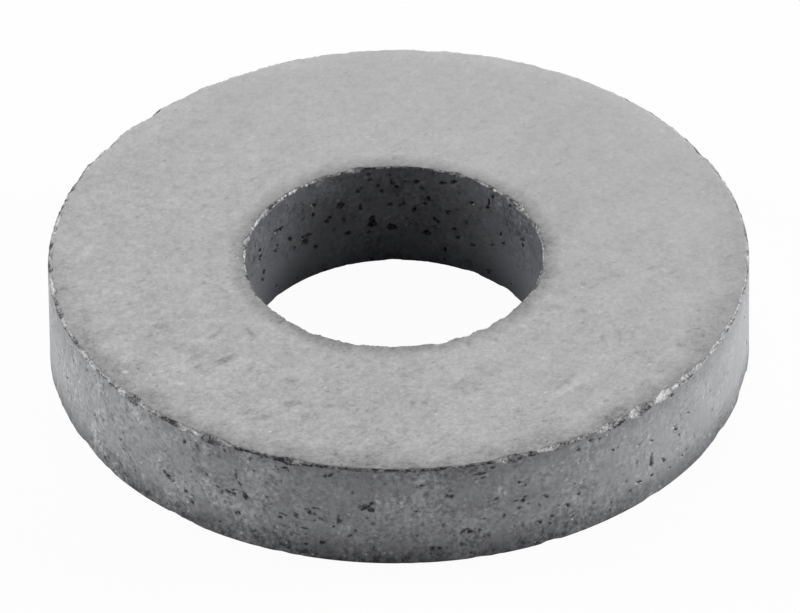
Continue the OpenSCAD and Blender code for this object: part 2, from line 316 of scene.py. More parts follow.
def per(size):
    """The scale of a pattern whose features are this many millimetres across."""
    return 1 / (size * MM)


def share(i):
    """Between 0.5 and 1, different for each count."""
    return 0.75 + 0.25 * math.sin(math.radians(i * 77))


def crumbs(count, start, length, depth):
    """Small chips counted off along one edge."""
    return [(start + i * GOLDEN_ANGLE, length * share(i), depth * share(i + 5)) for i in range(count)]


def small_pores(count, start, radius):
    """Small pores counted off over one wall."""
    return [
        (start + i * GOLDEN_ANGLE, 0.08 + 0.84 * (i * GOLDEN_RATIO % 1), radius * share(i))
        for i in range(count)
    ]


def hump(point, size, seed):
    """Smooth noise from -1 to 1. Its swells are about `size` metres across."""
    return noise.noise(point / size + Vector((seed, 3.7 * seed, 0)))


def within(low, value, high):
    """The value, kept between a low and a high one."""
    return min(high, max(low, value))


# ---------------------------------------------------------------- the ring's mesh


def half_section(bm, corners):
    """Draws the ring's half section as a closed line. Each corner is its radius, its
    height and the number of rows up to the next corner."""
    points = [bm.verts.new((radius, 0, height)) for radius, height, _ in corners]
    sides = [bm.edges.new(pair) for pair in zip(points, points[1:] + points[:1])]
    for side, (_, _, rows) in zip(sides, corners):
        bmesh.ops.bisect_edges(bm, edges=[side], cuts=rows - 1)
    return bm.verts[:] + bm.edges[:]


def split_round(bm, wanted):
    """Doubles the steps round the axis on the level lines that `wanted` picks."""
    level = []
    for e in bm.edges:
        one, other = (v.co for v in e.verts)
        same_radius = abs(one.xy.length - other.xy.length) < LEVEL
        if same_radius and abs(one.z - other.z) < LEVEL and wanted(one):
            level.append(e)
    bmesh.ops.subdivide_edges(bm, edges=level, cuts=1, use_single_edge=True)


def tree_of(bm):
    """A search tree of the mesh's points, in the order of bm.verts."""
    bm.verts.ensure_lookup_table()
    bm.verts.index_update()
    tree = KDTree(len(bm.verts))
    for v in bm.verts:
        tree.insert(v.co, v.index)
    tree.balance()
    return tree


def split_near(bm, spots, margin):
    """Halves the mesh's spacing within `margin` of each spot's own radius."""
    tree = tree_of(bm)
    near = set()
    for spot in spots:
        for _, index, _ in tree.find_range(spot["at"], spot["radius"] + margin):
            near.add(index)
    bmesh.ops.subdivide_edges(
        bm,
        edges=[e for e in bm.edges if e.verts[0].index in near and e.verts[1].index in near],
        cuts=1,
        use_grid_fill=True,
        use_single_edge=True,
        quad_corner_type="INNER_VERT",
    )


def on_wall(angle, radius, height):
    """The point at this angle in degrees, this far from the axis and this high."""
    turn = math.radians(angle)
    return Vector((radius * math.cos(turn), radius * math.sin(turn), height))


def round_pores(pores, thickness, open_share):
    """The solid's own pores in the form of pits. Only this share of each one's width is
    sunk, and its ragged mouth takes up the rest."""
    return [
        (angle, up * thickness / MM, 2 * open_share * radius, 1.7 * open_share * radius, 0)
        for angle, up, radius in pores
    ]


def scattered_pits(count, first, last, seed, thickness):
    """Pits strewn by chance over the part of a wall between two angles."""
    chance = random.Random(seed)
    pits = []
    for _ in range(count):
        width = chance.uniform(0.08, 0.18)
        angle = chance.uniform(first, last)
        height = chance.uniform(CLEAR_OF_FACES, thickness / MM - CLEAR_OF_FACES)
        length = width * chance.uniform(1, 3)
        pits.append((angle, height, length, width, chance.choice((0, 10, -25, 40, -50, 85))))
    return pits


def spots_on(pits, radius, inward, deep, dark):
    """Where each pit is, how it lies in its wall, how far it goes in and how dark it is."""
    chance = random.Random(len(pits))
    spots = []
    for angle, height, length, width, lean in pits:
        turn, rise = math.radians(angle), math.radians(lean)
        along = Vector((-math.sin(turn), math.cos(turn), 0)) * inward * -1
        spots.append(
            {
                "at": on_wall(angle, radius, height * MM),
                "radius": length * MM / 2,
                "half_width": width * MM / 2,
                "long_way": along * math.cos(rise) + Vector((0, 0, math.sin(rise))),
                "short_way": along * -math.sin(rise) + Vector((0, 0, math.cos(rise))),
                "inward": Vector((math.cos(turn), math.sin(turn), 0)) * inward,
                "deep": deep,
                "dark": dark * chance.uniform(0.45, 1),
            }
        )
    return spots


def spots_on_face(top):
    """Where each mark of the upper face is, how it lies, and how pale or dark it is."""
    spots = []
    for x, y, length, width, turn, shade in FACE_MARKS:
        turn = math.radians(turn)
        spots.append(
            {
                "at": Vector((x * MM, y * MM, top)),
                "radius": length * MM / 2,
                "half_width": width * MM / 2,
                "long_way": Vector((math.cos(turn), math.sin(turn), 0)),
                "short_way": Vector((-math.sin(turn), math.cos(turn), 0)),
                "shade": 0.9 * shade,
            }
        )
    return spots


def off_middle(off, spot):
    """How far a point is from a spot's middle: 0 there and 1 at the spot's rim."""
    far = off.dot(spot["long_way"]) / spot["radius"]
    wide = off.dot(spot["short_way"]) / spot["half_width"]
    return math.hypot(far, wide)


def of_arc(angle, arcs):
    """How pale, how wide and how rough an edge's break is at this angle in degrees,
    passing smoothly from arc to arc."""
    sums, total = [0, 0, 0], 0
    for first, last, *_, pale, width, rough in arcs:
        middle, half = (first + last) / 2, (last - first) / 2
        off = abs((angle - middle + 180) % 360 - 180)
        weight = max(1e-6, 1 - max(0, off - half + 2) / 4)
        sums = [have + weight * more for have, more in zip(sums, (pale, width, rough))]
        total += weight
    return [have / total for have in sums]


def crumble(bm, edge, width, seed, marks, arcs):
    """Breaks one edge of the ring at about 45 degrees, in uneven flats and crumbs."""
    corner_r, corner_z, out, up, _ = edge
    limit = 2.2 * width
    for v in bm.verts:
        radius = v.co.xy.length
        in_r = out * (corner_r - radius)
        in_z = up * (corner_z - v.co.z)
        if in_r > limit or in_z > limit or in_r < -TOUCH or in_z < -TOUCH:
            continue
        foot = Vector((v.co.x, v.co.y, 0)) * (corner_r / radius)
        foot.z = corner_z
        pale, share_wide, rough = of_arc(math.degrees(math.atan2(v.co.y, v.co.x)), arcs)
        # The break wanders along the edge, and each of its two borders on its own too.
        shared = hump(foot, 0.9 * MM, seed) + hump(foot, 0.4 * MM, seed + 3)
        on_face = 0.85 + rough * (0.12 * shared + 0.40 * hump(foot, 0.17 * MM, seed + 8))
        on_side = 0.85 + rough * (0.12 * shared + 0.50 * hump(foot, 0.26 * MM, seed + 12))
        on_face *= width * share_wide
        on_side *= width * share_wide
        past = 1 - in_r / on_face - in_z / on_side
        if past <= 0:
            continue
        push = past / (1 / on_face**2 + 1 / on_side**2)
        in_r += push / on_face
        in_z += push / on_side
        v.co.xy = v.co.xy * ((corner_r - out * in_r) / radius)
        v.co.z = corner_z - up * in_z
        v[marks["broken"]] = 1.0
        v[marks["fresh"]] = pale


def fine_chips(arcs, seed):
    """Fine chips strewn by chance over the arcs of one edge."""
    chance = random.Random(seed)
    chips = []
    for first, last, count, longest, deepest, pale, _, _ in arcs:
        for _ in range(count):
            size = chance.uniform(0.4, 1)
            angle = chance.uniform(first, last)
            depth = deepest * size * chance.uniform(0.5, 1)
            how_pale = within(0.0, pale + chance.uniform(-0.35, 0.35), 1.0)
            chips.append((angle, longest * size, depth, how_pale, chance.uniform(-0.5, 0.5)))
    return chips


def large_chips(chips, arcs, grain):
    """The solid's own chips in the form of the fine ones, each shallower by the size of
    the grain that stands in it, in millimetres."""
    return [
        (angle, length, max(0.02, depth - grain), of_arc(angle, arcs)[0], 0)
        for angle, length, depth in chips
    ]


def chip(bm, tree, chips, edge, whole_width, seed, marks, arcs):
    """Knocks dishes out of one edge. Each is an angle, a length and depth in millimetres,
    how pale it is, and how far it sits off the middle of the break, as a share."""
    corner_r, corner_z, out, up, band = edge
    for angle, length, depth, pale, aside in chips:
        width = whole_width * of_arc(angle, arcs)[1]
        length, depth = length * MM, depth * MM
        middle_r = corner_r - out * width * (0.5 + aside)
        middle_z = corner_z - up * width * (0.5 - aside)
        dish = (length * length / 4 + depth * depth) / (2 * depth)
        reach = (dish - depth) * math.sqrt(0.5)
        centre = on_wall(angle, middle_r + out * reach, middle_z + up * reach)
        for _, index, _ in tree.find_range(on_wall(angle, middle_r, middle_z), length * 0.8):
            v = bm.verts[index]
            if abs(corner_r - v.co.xy.length) > band or abs(corner_z - v.co.z) > band:
                continue
            away = v.co - centre
            floor = dish + 0.25 * depth * hump(v.co, 0.15 * MM, seed)
            if away.length < floor:
                v.co = centre + away.normalized() * floor
                v[marks["broken"]] = 1.0
                v[marks["fresh"]] = pale


def roughen(bm, outer_r, bore_r, top, marks):
    """Gives the broken places their grain, keeps them within the ring, and paints shade on them where
    they turn toward the wall."""
    chance = random.Random(7)
    for v in bm.verts:
        if v[marks["broken"]] < 0.5:
            continue
        out = v.co.xy.normalized()
        step = UPPER_GRAIN if v.co.z > top / 2 else LOWER_GRAIN
        radius = within(bore_r, v.co.xy.length + step * chance.uniform(-1, 1), outer_r)
        slide = step * chance.uniform(-1, 1)
        v.co.x = out.x * radius - out.y * slide
        v.co.y = out.y * radius + out.x * slide
        v.co.z = within(0, v.co.z + step * chance.uniform(-1, 1), top)
        # Painted shade: the break is darker where it turns toward the wall.
        in_r = outer_r - radius if radius > (outer_r + bore_r) / 2 else radius - bore_r
        in_z = min(v.co.z, top - v.co.z)
        down = in_z / max(in_r + in_z, 1e-9)
        v[marks["fresh"]] -= 0.9 * max(0, down - 0.55)


def open_pits(bm, tree, spots, seed, marks):
    """Sinks each pit into its wall, steep-sided and ragged at the mouth, and paints shade and dirt into
    it, fading out round its mouth.
    """
    for count, spot in enumerate(spots):
        for place, index, _ in tree.find_range(spot["at"], spot["radius"] * 1.5 + 0.03 * MM):
            v = bm.verts[index]
            ragged = 0.38 * hump(place, 0.11 * MM, seed + count)
            ragged += 0.30 * hump(place, 0.05 * MM, seed + count + 9)
            inside = 1 - off_middle(place - spot["at"], spot) + ragged
            # The painted shade fades out over a ring round the pit's mouth.
            shade_round_mouth = 0.30 * spot["dark"] * within(0.0, inside / 0.6 + 1, 1.0)
            v[marks["pit"]] = max(v[marks["pit"]], shade_round_mouth)
            if inside > 0:
                sink = min(1.0, inside / 0.4)
                depth = 1.2 * min(spot["half_width"], 0.13 * MM) * spot["deep"]
                v.co += spot["inward"] * (depth * sink)
                v[marks["pit"]] = max(v[marks["pit"]], sink * spot["dark"])


def shade_face(bm, tree, spots, seed, marks):
    """Makes the upper face paler or darker at its marks, which fade out at their rims."""
    for count, spot in enumerate(spots):
        for _, index, _ in tree.find_range(spot["at"], 1.5 * spot["radius"] + 0.3 * MM):
            v = bm.verts[index]
            ragged = 0.5 * hump(v.co, 0.15 * MM, seed + count)
            inside = within(0.0, 1.5 - off_middle(v.co - spot["at"], spot) + ragged, 1.0)
            v[marks["shade"]] += spot["shade"] * inside


def shade_walls(bm, tree, radii, seed, marks):
    """Makes the walls paler at their pale grains and scores."""
    for grains, radius in zip((WALL_GRAINS, BORE_GRAINS), radii):
        for count, (*place_and_size, shade) in enumerate(grains):
            spot = spots_on([place_and_size], radius, -1, 0, 0)[0]
            for place, index, _ in tree.find_range(spot["at"], spot["radius"] + 0.2 * MM):
                v = bm.verts[index]
                ragged = 0.4 * hump(place, 0.1 * MM, seed + count)
                inside = within(0.0, 1.5 - off_middle(place - spot["at"], spot) + ragged, 1.0)
                v[marks["shade"]] = max(v[marks["shade"]], shade * inside)


def slide_bore(bm, outer_r, bore_r, offset):
    """Moves the bore off the middle, and the faces beside it less and less."""
    for v in bm.verts:
        share_moved = (outer_r - 1 * MM - v.co.xy.length) / (outer_r - bore_r - 2 * MM)
        v.co.x -= offset * within(0.0, share_moved, 1.0)


def bare_ring(bm, outer_r, bore_r, top):
    """Makes the plain ring, meshed more closely where it will be broken and pitted."""
    line = half_section(
        bm,
        [
            (bore_r, 0, 4), (bore_r + BORE_BAND, 0, 4),
            (outer_r - OUTER_BAND, 0, 5), (outer_r, 0, 5),
            (outer_r, OUTER_BAND, 30), (outer_r, top - OUTER_BAND, 7),
            (outer_r, top, 7), (outer_r - OUTER_BAND, top, 30),
            (bore_r + BORE_BAND, top, 5), (bore_r, top, 5),
            (bore_r, top - BORE_BAND, 36), (bore_r, BORE_BAND, 4),
        ],
    )
    bmesh.ops.spin(
        bm, geom=line, cent=(0, 0, 0), axis=(0, 0, 1), angle=math.tau, steps=STEPS_ROUND, use_merge=True
    )
    bmesh.ops.remove_doubles(bm, verts=bm.verts[:], dist=TOUCH)

    # Twice the steps over the outer wall and along the bore's edges.
    def at_outside(p):
        return p.xy.length > outer_r - OUTER_BAND - TOUCH

    def at_bore_edges(p):
        at_end = p.z < BORE_BAND + TOUCH or p.z > top - BORE_BAND - TOUCH
        return at_end and p.xy.length < bore_r + BORE_BAND + TOUCH

    split_round(bm, at_outside)
    split_round(bm, at_bore_edges)


def build_ring(sizes):
    """Makes the ring's mesh."""
    outer_r, bore_r = sizes.outer_diameter / 2, sizes.bore_diameter / 2
    top = sizes.thickness
    bm = bmesh.new()
    marks = {name: bm.verts.layers.float.new(name) for name in ("broken", "fresh", "pit", "shade")}
    bare_ring(bm, outer_r, bore_r, top)

    pore_r = sizes.pore_radius / MM
    wall_pores = WALL_PORES + small_pores(sizes.wall_pores, 20, pore_r)
    bore_pores = BORE_PORES + small_pores(sizes.bore_pores, 50, pore_r)
    back_pits = scattered_pits(50, -14, 200, 3, top)
    back_dents = scattered_pits(30, -14, 200, 4, top)
    front_bore_pits = scattered_pits(34, 165, 385, 6, top)
    spots = []
    for pits, radius, inward, deep, dark in (
        (round_pores(wall_pores, top, 0.72), outer_r, -1, 1, 0.6),
        (WALL_PITS + back_pits, outer_r, -1, 1, 0.6),
        (WALL_DENTS + back_dents, outer_r, -1, 0.35, 0.4),
        (round_pores(bore_pores, top, 0.92), bore_r, 1, 1.5, 1),
        (BORE_PITS + front_bore_pits, bore_r, 1, 1.5, 1),
        (BORE_DENTS, bore_r, 1, 0.5, 0.5),
    ):
        spots += spots_on(pits, radius, inward, deep, dark)
    face_spots = spots_on_face(top)
    # All but the shallow dents are meshed more closely still.
    split_near(bm, spots, 0.12 * MM)
    split_near(bm, [spot for spot in spots if spot["deep"] > 0.5], 0.03 * MM)
    split_near(bm, face_spots, 0.3 * MM)

    # The last row of each band stays where it is, so that no face beside it is pulled.
    tree = tree_of(bm)
    last_outer, last_bore = OUTER_BAND - 0.01 * MM, BORE_BAND - 0.01 * MM
    # Each edge has its large and its fine chips, the angle where its small ones start and
    # the grain of its large ones. Then come its radius and height, 1 or -1 for the way it
    # faces, out and up, and how far from it the chips reach.
    edges = (
        (TOP_OUTER_CHIPS, TOP_OUTER_FINES, 12, 0.05, (outer_r, top, 1, 1, last_outer)),
        (BOTTOM_OUTER_CHIPS, BOTTOM_OUTER_FINES, 40, 0.05, (outer_r, 0, 1, -1, last_outer)),
        (TOP_BORE_CHIPS, TOP_BORE_FINES, 65, 0.01, (bore_r, top, -1, 1, last_bore)),
        (BOTTOM_BORE_CHIPS, BOTTOM_BORE_FINES, 90, 0.05, (bore_r, 0, -1, -1, last_bore)),
    )
    for seed, (large, arcs, start, grain, edge) in enumerate(edges):
        outer = edge[2] == 1
        width = sizes.outer_break if outer else sizes.bore_break
        count = sizes.outer_crumbs if outer else sizes.bore_crumbs
        crumble(bm, edge, width, 20 * seed, marks, arcs)
        small = crumbs(count, start, sizes.crumb_length / MM, sizes.crumb_depth / MM)
        chips = large_chips(large + small, arcs, grain) + fine_chips(arcs, 30 + seed)
        chip(bm, tree, chips, edge, width, 50 + seed, marks, arcs)
    roughen(bm, outer_r, bore_r, top, marks)
    open_pits(bm, tree, spots, 5, marks)
    slide_bore(bm, outer_r, bore_r, sizes.bore_offset)
    shade_face(bm, tree, face_spots, 70, marks)
    shade_walls(bm, tree, (outer_r, bore_r), 80, marks)

    bmesh.ops.triangulate(bm, faces=[f for f in bm.faces if len(f.verts) > 4])
    bmesh.ops.recalc_face_normals(bm, faces=bm.faces[:])
    name_faces(bm, marks, (outer_r + bore_r) / 2)
    return bm


def name_faces(bm, marks, middle_r):
    """Sets each face's finish, and shades the ground and broken ones flat."""
    for f in bm.faces:
        if sum(v[marks["broken"]] for v in f.verts) > len(f.verts) - 0.5:
            f.material_index = BROKEN
        elif abs(f.normal.z) > 0.9:
            f.material_index = GROUND
        elif f.calc_center_median().xy.length > middle_r:
            f.material_index = SKIN
        else:
            f.material_index = BORE_SKIN
        f.smooth = f.material_index in (SKIN, BORE_SKIN)


# ---------------------------------------------------------------- materials


def add_node(tree, kind, inputs=None, **settings):
    """Adds one shader node, with its settings and what goes into its sockets: a value,
    another node's output, or another node, which stands for its first output."""
    made = tree.nodes.new("ShaderNode" + kind)
    for name, value in settings.items():
        setattr(made, name, value)
    for name, value in (inputs or {}).items():
        if isinstance(value, bpy.types.Node):
            value = value.outputs[0]
        if isinstance(value, bpy.types.NodeSocket):
            tree.links.new(value, made.inputs[name])
        else:
            made.inputs[name].default_value = value
    return made


def new_material(name):
    """An empty node material of this name."""
    material = bpy.data.materials.new(name)
    material.use_nodes = True
    material.node_tree.nodes.clear()
    return material


def mottling(tree, layers, contrast):
    """A grey from 0 to 1, mostly near 0.5: layers of noise, each a place, a size in
    millimetres, a detail and an amount, made stronger or weaker by the contrast."""
    tone = 0
    for where, size, detail, amount in layers:
        layer = add_node(
            tree, "TexNoise", {"Vector": where, "Scale": per(size), "Detail": detail, "Roughness": 0.8}
        )
        centred = add_node(tree, "Math", {0: layer, 1: 0.5}, operation="SUBTRACT")
        tone = add_node(tree, "Math", {0: centred, 1: amount, 2: tone}, operation="MULTIPLY_ADD")
    return add_node(tree, "Math", {0: tone, 1: contrast, 2: 0.5}, operation="MULTIPLY_ADD")


def with_specks(tree, tone, place, contrast, kinds):
    """The tone with small specks on it, torn at their rims. Each kind is the size of its
    cells in millimetres, the share of them that hold a speck, its radius, and how much
    paler or darker it is."""
    for spacing, chosen_share, radius, shade in kinds:
        wander = add_node(
            tree, "TexNoise", {"Vector": place, "Scale": per(1.5 * radius), "Detail": 1, "Roughness": 0.6}
        ).outputs["Color"]
        uneven = add_node(
            tree, "VectorMath",
            {0: wander, 1: [1.6 * radius * MM] * 3, 2: place},
            operation="MULTIPLY_ADD",
        )
        cells = add_node(
            tree, "TexVoronoi", {"Vector": uneven, "Scale": per(spacing), "Randomness": 1}
        ).outputs
        picked = add_node(tree, "SeparateColor", {"Color": cells["Color"]})
        picked = add_node(tree, "Math", {0: picked, 1: chosen_share}, operation="LESS_THAN")
        speck = add_node(
            tree, "MapRange",
            {
                "Value": cells["Distance"],
                "From Min": 0.6 * radius / spacing, "From Max": 1.3 * radius / spacing,
                "To Min": 1, "To Max": 0,
            },
        )
        for times in (picked, contrast):
            speck = add_node(tree, "Math", {0: speck, 1: times}, operation="MULTIPLY")
        tone = add_node(tree, "Math", {0: speck, 1: shade, 2: tone}, operation="MULTIPLY_ADD")
    return tone


def ground_ferrite(dark, pale):
    """Sintered ferrite ground flat: matte and even, with fine smears along the way the
    wheel ran, torn-out grains that look like dark flecks, and grains that catch the light.
    """
    material = new_material("ground_ferrite")
    tree = material.node_tree
    place = add_node(tree, "TexCoord").outputs["Object"]
    along_grind, short_smears = (
        add_node(
            tree, "Mapping",
            {"Vector": place, "Rotation": (0, 0, math.radians(turn)), "Scale": (stretch, 1, 1)},
            vector_type="TEXTURE",
        )
        for turn, stretch in ((46, 5), (40, 1.8))
    )

    # How strong each kind of mark is, and how many millimetres across it is. The real
    # grains are a few thousandths of a millimetre, too fine to show, so the finest here
    # are clumps of 0.06 mm.
    layers = (
        (place, 5, 1, 0.18), (place, 0.9, 1, 0.24), (place, 0.34, 1, 0.38), (place, 0.13, 1, 0.36),
        (along_grind, 1.1, 1, 0.15), (along_grind, 0.32, 0, 0.08), (along_grind, 0.13, 1, 0.07),
    )
    # The front, left of the middle, was handled most and is marked the most.
    to_left_front, to_front = (
        add_node(tree, "VectorMath", {0: place, 1: way}, operation="DOT_PRODUCT").outputs["Value"]
        for way in ((-0.4, -0.9, 0), (0, -1, 0))
    )
    contrast = add_node(
        tree, "MapRange",
        {
            "Value": to_left_front, "From Min": -11 * MM, "From Max": 11 * MM,
            "To Min": 0.52, "To Max": 1.1,
        },
    )
    tone = mottling(tree, layers, contrast)
    shade = add_node(tree, "Attribute", attribute_name="shade").outputs["Fac"]
    tone = add_node(tree, "Math", {0: tone, 1: shade}, operation="ADD")

    # Torn-out flecks, longer along the grind and thicker in some places than in others.
    torn = add_node(
        tree, "TexNoise", {"Vector": short_smears, "Scale": per(0.16), "Detail": 1, "Roughness": 0.5}
    )
    patches = add_node(
        tree, "TexNoise", {"Vector": place, "Scale": per(1.6), "Detail": 1, "Roughness": 0.6}
    )
    torn = add_node(tree, "Math", {0: patches, 1: 0.35, 2: torn}, operation="MULTIPLY_ADD")
    torn = add_node(tree, "MapRange", {"Value": torn, "From Min": 0.80, "From Max": 1.04})
    torn = add_node(tree, "Math", {0: torn, 1: contrast}, operation="MULTIPLY")
    tone = add_node(tree, "Math", {0: torn, 1: -0.28, 2: tone}, operation="MULTIPLY_ADD")
    # Pale grains and dark pinholes.
    specks = (
        (0.4, 0.14, 0.04, 0.3), (0.45, 0.16, 0.07, 0.12),
        (0.5, 0.18, 0.05, -0.26), (0.7, 0.16, 0.09, -0.16),
    )
    tone = with_specks(tree, tone, short_smears, contrast, specks)

    # The rim of the face is darker towards the front. At the back it is a little paler.
    flat = add_node(tree, "VectorMath", {0: place, 1: (1, 1, 0)}, operation="MULTIPLY")
    radius = add_node(tree, "VectorMath", {0: flat}, operation="LENGTH").outputs["Value"]
    radius = add_node(tree, "Math", {0: patches, 1: 1.6 * MM, 2: radius}, operation="MULTIPLY_ADD")
    rim = add_node(
        tree, "MapRange",
        {"Value": radius, "From Min": 13.4 * MM, "From Max": 15.1 * MM},
        interpolation_type="SMOOTHSTEP",
    )
    rim_tone_by_side = add_node(
        tree, "MapRange",
        {"Value": to_front, "From Min": -9 * MM, "From Max": 9 * MM, "To Min": 0.07, "To Max": -0.28},
    )
    tone = add_node(tree, "Math", {0: rim, 1: rim_tone_by_side, 2: tone}, operation="MULTIPLY_ADD")

    # Dirt has settled round the bore, and a trace of it over the left front.
    from_bore = add_node(tree, "VectorMath", {0: flat, 1: (BORE_OFFSET, 0, 0)}, operation="ADD")
    from_bore = add_node(tree, "VectorMath", {0: from_bore}, operation="LENGTH").outputs["Value"]
    from_bore = add_node(tree, "Math", {0: patches, 1: -0.5 * MM, 2: from_bore}, operation="MULTIPLY_ADD")
    for where, low, high, at_low, at_high in (
        (from_bore, BORE_D / 2 - 0.2 * MM, BORE_D / 2 + 0.6 * MM, -0.36, 0),
        (to_left_front, -2 * MM, 13 * MM, 0, -0.01),
    ):
        dirt = add_node(
            tree, "MapRange",
            {"Value": where, "From Min": low, "From Max": high, "To Min": at_low, "To Max": at_high},
        )
        tone = add_node(tree, "Math", {0: dirt, 1: tone}, operation="ADD")

    colour = add_node(tree, "Mix", {0: tone, 6: dark, 7: pale}, data_type="RGBA")
    bump = add_node(tree, "Bump", {"Height": tone, "Strength": 0.5, "Distance": 0.012 * MM})
    finish(tree, colour.outputs[2], bump, 0.7)
    return material


def fired_ferrite(name, dark, pale, pit_shade_colour, painted_foot_shade, contrast, painted_side_light=0):
    """Ferrite with the skin it left the kiln with: mottled, scored faintly up and down
    by the press tool, with open pores and here and there a pale grain."""
    material = new_material(name)
    tree = material.node_tree
    place = add_node(tree, "TexCoord").outputs["Object"]
    axes = add_node(tree, "SeparateXYZ", {"Vector": place}).outputs
    up_and_down = add_node(tree, "Mapping", {"Vector": place, "Scale": (1, 1, 7)}, vector_type="TEXTURE")

    # The mottling is strongest in clusters. At the left front it is painted stronger, as painted shading
    # of light that rakes over the relief.
    to_back = add_node(
        tree, "VectorMath", {0: place, 1: (0.5, 1, 0)}, operation="DOT_PRODUCT"
    ).outputs["Value"]
    painted_relief_contrast = add_node(
        tree, "MapRange",
        {
            "Value": to_back, "From Min": -13 * MM, "From Max": -4 * MM,
            "To Min": contrast, "To Max": 0.5 * contrast,
        },
    )
    clusters = add_node(
        tree, "TexNoise", {"Vector": place, "Scale": per(1.5), "Detail": 1, "Roughness": 0.6}
    )
    mottled = add_node(
        tree, "MapRange",
        {"Value": clusters, "From Min": 0.35, "From Max": 0.65, "To Min": 0.5, "To Max": 1.5},
    )
    mottled = add_node(tree, "Math", {0: mottled, 1: painted_relief_contrast}, operation="MULTIPLY")
    layers = (
        (place, 3, 1, 0.3), (place, 1.1, 1, 0.28), (place, 0.42, 1, 0.4), (place, 0.18, 1, 0.7),
        (up_and_down, 0.22, 1, 0.2),
    )
    tone = mottling(tree, layers, mottled)
    shade = add_node(tree, "Attribute", attribute_name="shade").outputs["Fac"]
    tone = add_node(tree, "Math", {0: tone, 1: shade}, operation="ADD")
    # Small pores, most of them in clusters, and pale grains.
    specks = (
        (0.35, 0.34, 0.05, -0.42), (0.6, 0.32, 0.09, -0.36),
        (0.36, 0.22, 0.05, 0.66), (0.5, 0.24, 0.08, 0.38),
    )
    tone = with_specks(tree, tone, place, mottled, specks)

    # Painted shade: the wall is darker towards its foot, and a little under the upper edge. A negative
    # amount paints light there instead, as in the bore.
    shade_under_edge, foot = (
        add_node(
            tree, "MapRange",
            {"Value": axes["Z"], "From Min": low, "From Max": high, "To Min": at_low, "To Max": at_high},
            interpolation_type="SMOOTHSTEP",
        )
        for low, high, at_low, at_high in (
            (THICKNESS - 1.4 * MM, THICKNESS, 0, -0.4 * painted_foot_shade),
            (0, 1.7 * MM, -painted_foot_shade, 0),
        )
    )
    tone = add_node(tree, "Math", {0: tone, 1: shade_under_edge}, operation="ADD")
    if painted_side_light:
        # Painted light: the bore is paler low down, on the two sides and not at the back, as if lit by
        # light bounced up from the floor.
        sideways = add_node(tree, "Math", {0: axes["X"]}, operation="ABSOLUTE")
        sideways = add_node(tree, "MapRange", {"Value": sideways, "From Min": 1 * MM, "From Max": 4 * MM})
        low_down = add_node(
            tree, "MapRange",
            {
                "Value": axes["Z"], "From Min": 1.2 * MM, "From Max": 3.4 * MM,
                "To Min": painted_side_light, "To Max": 0,
            },
        )
        tone = add_node(tree, "Math", {0: sideways, 1: low_down, 2: tone}, operation="MULTIPLY_ADD")
    # The painted shade at the foot is added last.
    tone = add_node(tree, "Math", {0: tone, 1: foot}, operation="ADD", use_clamp=True)
    skin = add_node(tree, "Mix", {0: tone, 6: dark, 7: pale}, data_type="RGBA")

    # The pits' floors take painted shade and dirt, mottled so that their outlines look torn.
    pit = add_node(tree, "Attribute", attribute_name="pit").outputs["Fac"]
    torn = add_node(tree, "TexNoise", {"Vector": place, "Scale": per(0.1), "Detail": 1, "Roughness": 0.6})
    torn = add_node(
        tree, "MapRange", {"Value": torn, "From Min": 0.38, "From Max": 0.6, "To Min": 0.4, "To Max": 1.2}
    )
    pit = add_node(tree, "Math", {0: pit, 1: torn}, operation="MULTIPLY", use_clamp=True)
    colour = add_node(tree, "Mix", {0: pit, 6: skin.outputs[2], 7: pit_shade_colour}, data_type="RGBA")
    bump = add_node(tree, "Bump", {"Height": tone, "Strength": 0.6, "Distance": 0.02 * MM})
    finish(tree, colour.outputs[2], bump, 0.34)
    return material


def broken_ferrite(dark, pale):
    """Ferrite where it crumbled: grain by grain pale and dark, pale where the break is fresh, dark where
    dirt has settled in it, and darker with painted shade where it turns toward the wall."""
    material = new_material("broken_ferrite")
    tree = material.node_tree
    place = add_node(tree, "TexCoord").outputs["Object"]
    cells = add_node(tree, "TexVoronoi", {"Vector": place, "Scale": per(0.09), "Randomness": 1}).outputs
    grain = add_node(tree, "SeparateColor", {"Color": cells["Color"]})
    dirt, stretches = (
        add_node(
            tree, "TexNoise", {"Vector": place, "Scale": per(size), "Detail": detail, "Roughness": 0.7}
        )
        for size, detail in ((0.35, 2), (1.0, 1))
    )
    tone = add_node(tree, "Attribute", attribute_name="fresh").outputs["Fac"]
    for part, amount in ((grain, 0.58), (dirt, 0.6), (stretches, 1.6)):
        tone = add_node(tree, "Math", {0: part, 1: amount, 2: tone}, operation="MULTIPLY_ADD")
    tone = add_node(tree, "MapRange", {"Value": tone, "From Min": 1.45, "From Max": 2.42})
    colour = add_node(tree, "Mix", {0: tone, 6: dark, 7: pale}, data_type="RGBA")
    bump = add_node(tree, "Bump", {"Height": cells["Distance"], "Strength": 0.6, "Distance": 0.02 * MM})
    finish(tree, colour.outputs[2], bump, 0.5)
    return material


def finish(tree, colour, bump, roughness):
    """Ends a material in its shader. Solid ferrite has an IOR of about 2.4. Dust and
    pores bring its gloss down to that of 1.5."""
    shader = add_node(
        tree, "BsdfPrincipled", {"Base Color": colour, "Normal": bump, "Roughness": roughness, "IOR": 1.5}
    )
    add_node(tree, "OutputMaterial", {"Surface": shader})


# ---------------------------------------------------------------- sizes and colours


def length_setting(name, description, default):
    """A length that the panel shows."""
    return FloatProperty(name=name, description=description, default=default, unit="LENGTH")


def count_setting(name, description, default):
    """A number of things that the panel shows."""
    return IntProperty(name=name, description=description, default=default, min=0)


def colour_setting(name, description, hex_colour):
    """A colour that the panel shows."""
    return FloatVectorProperty(
        name=name, description=description, default=linear(hex_colour), subtype="COLOR", size=4
    )


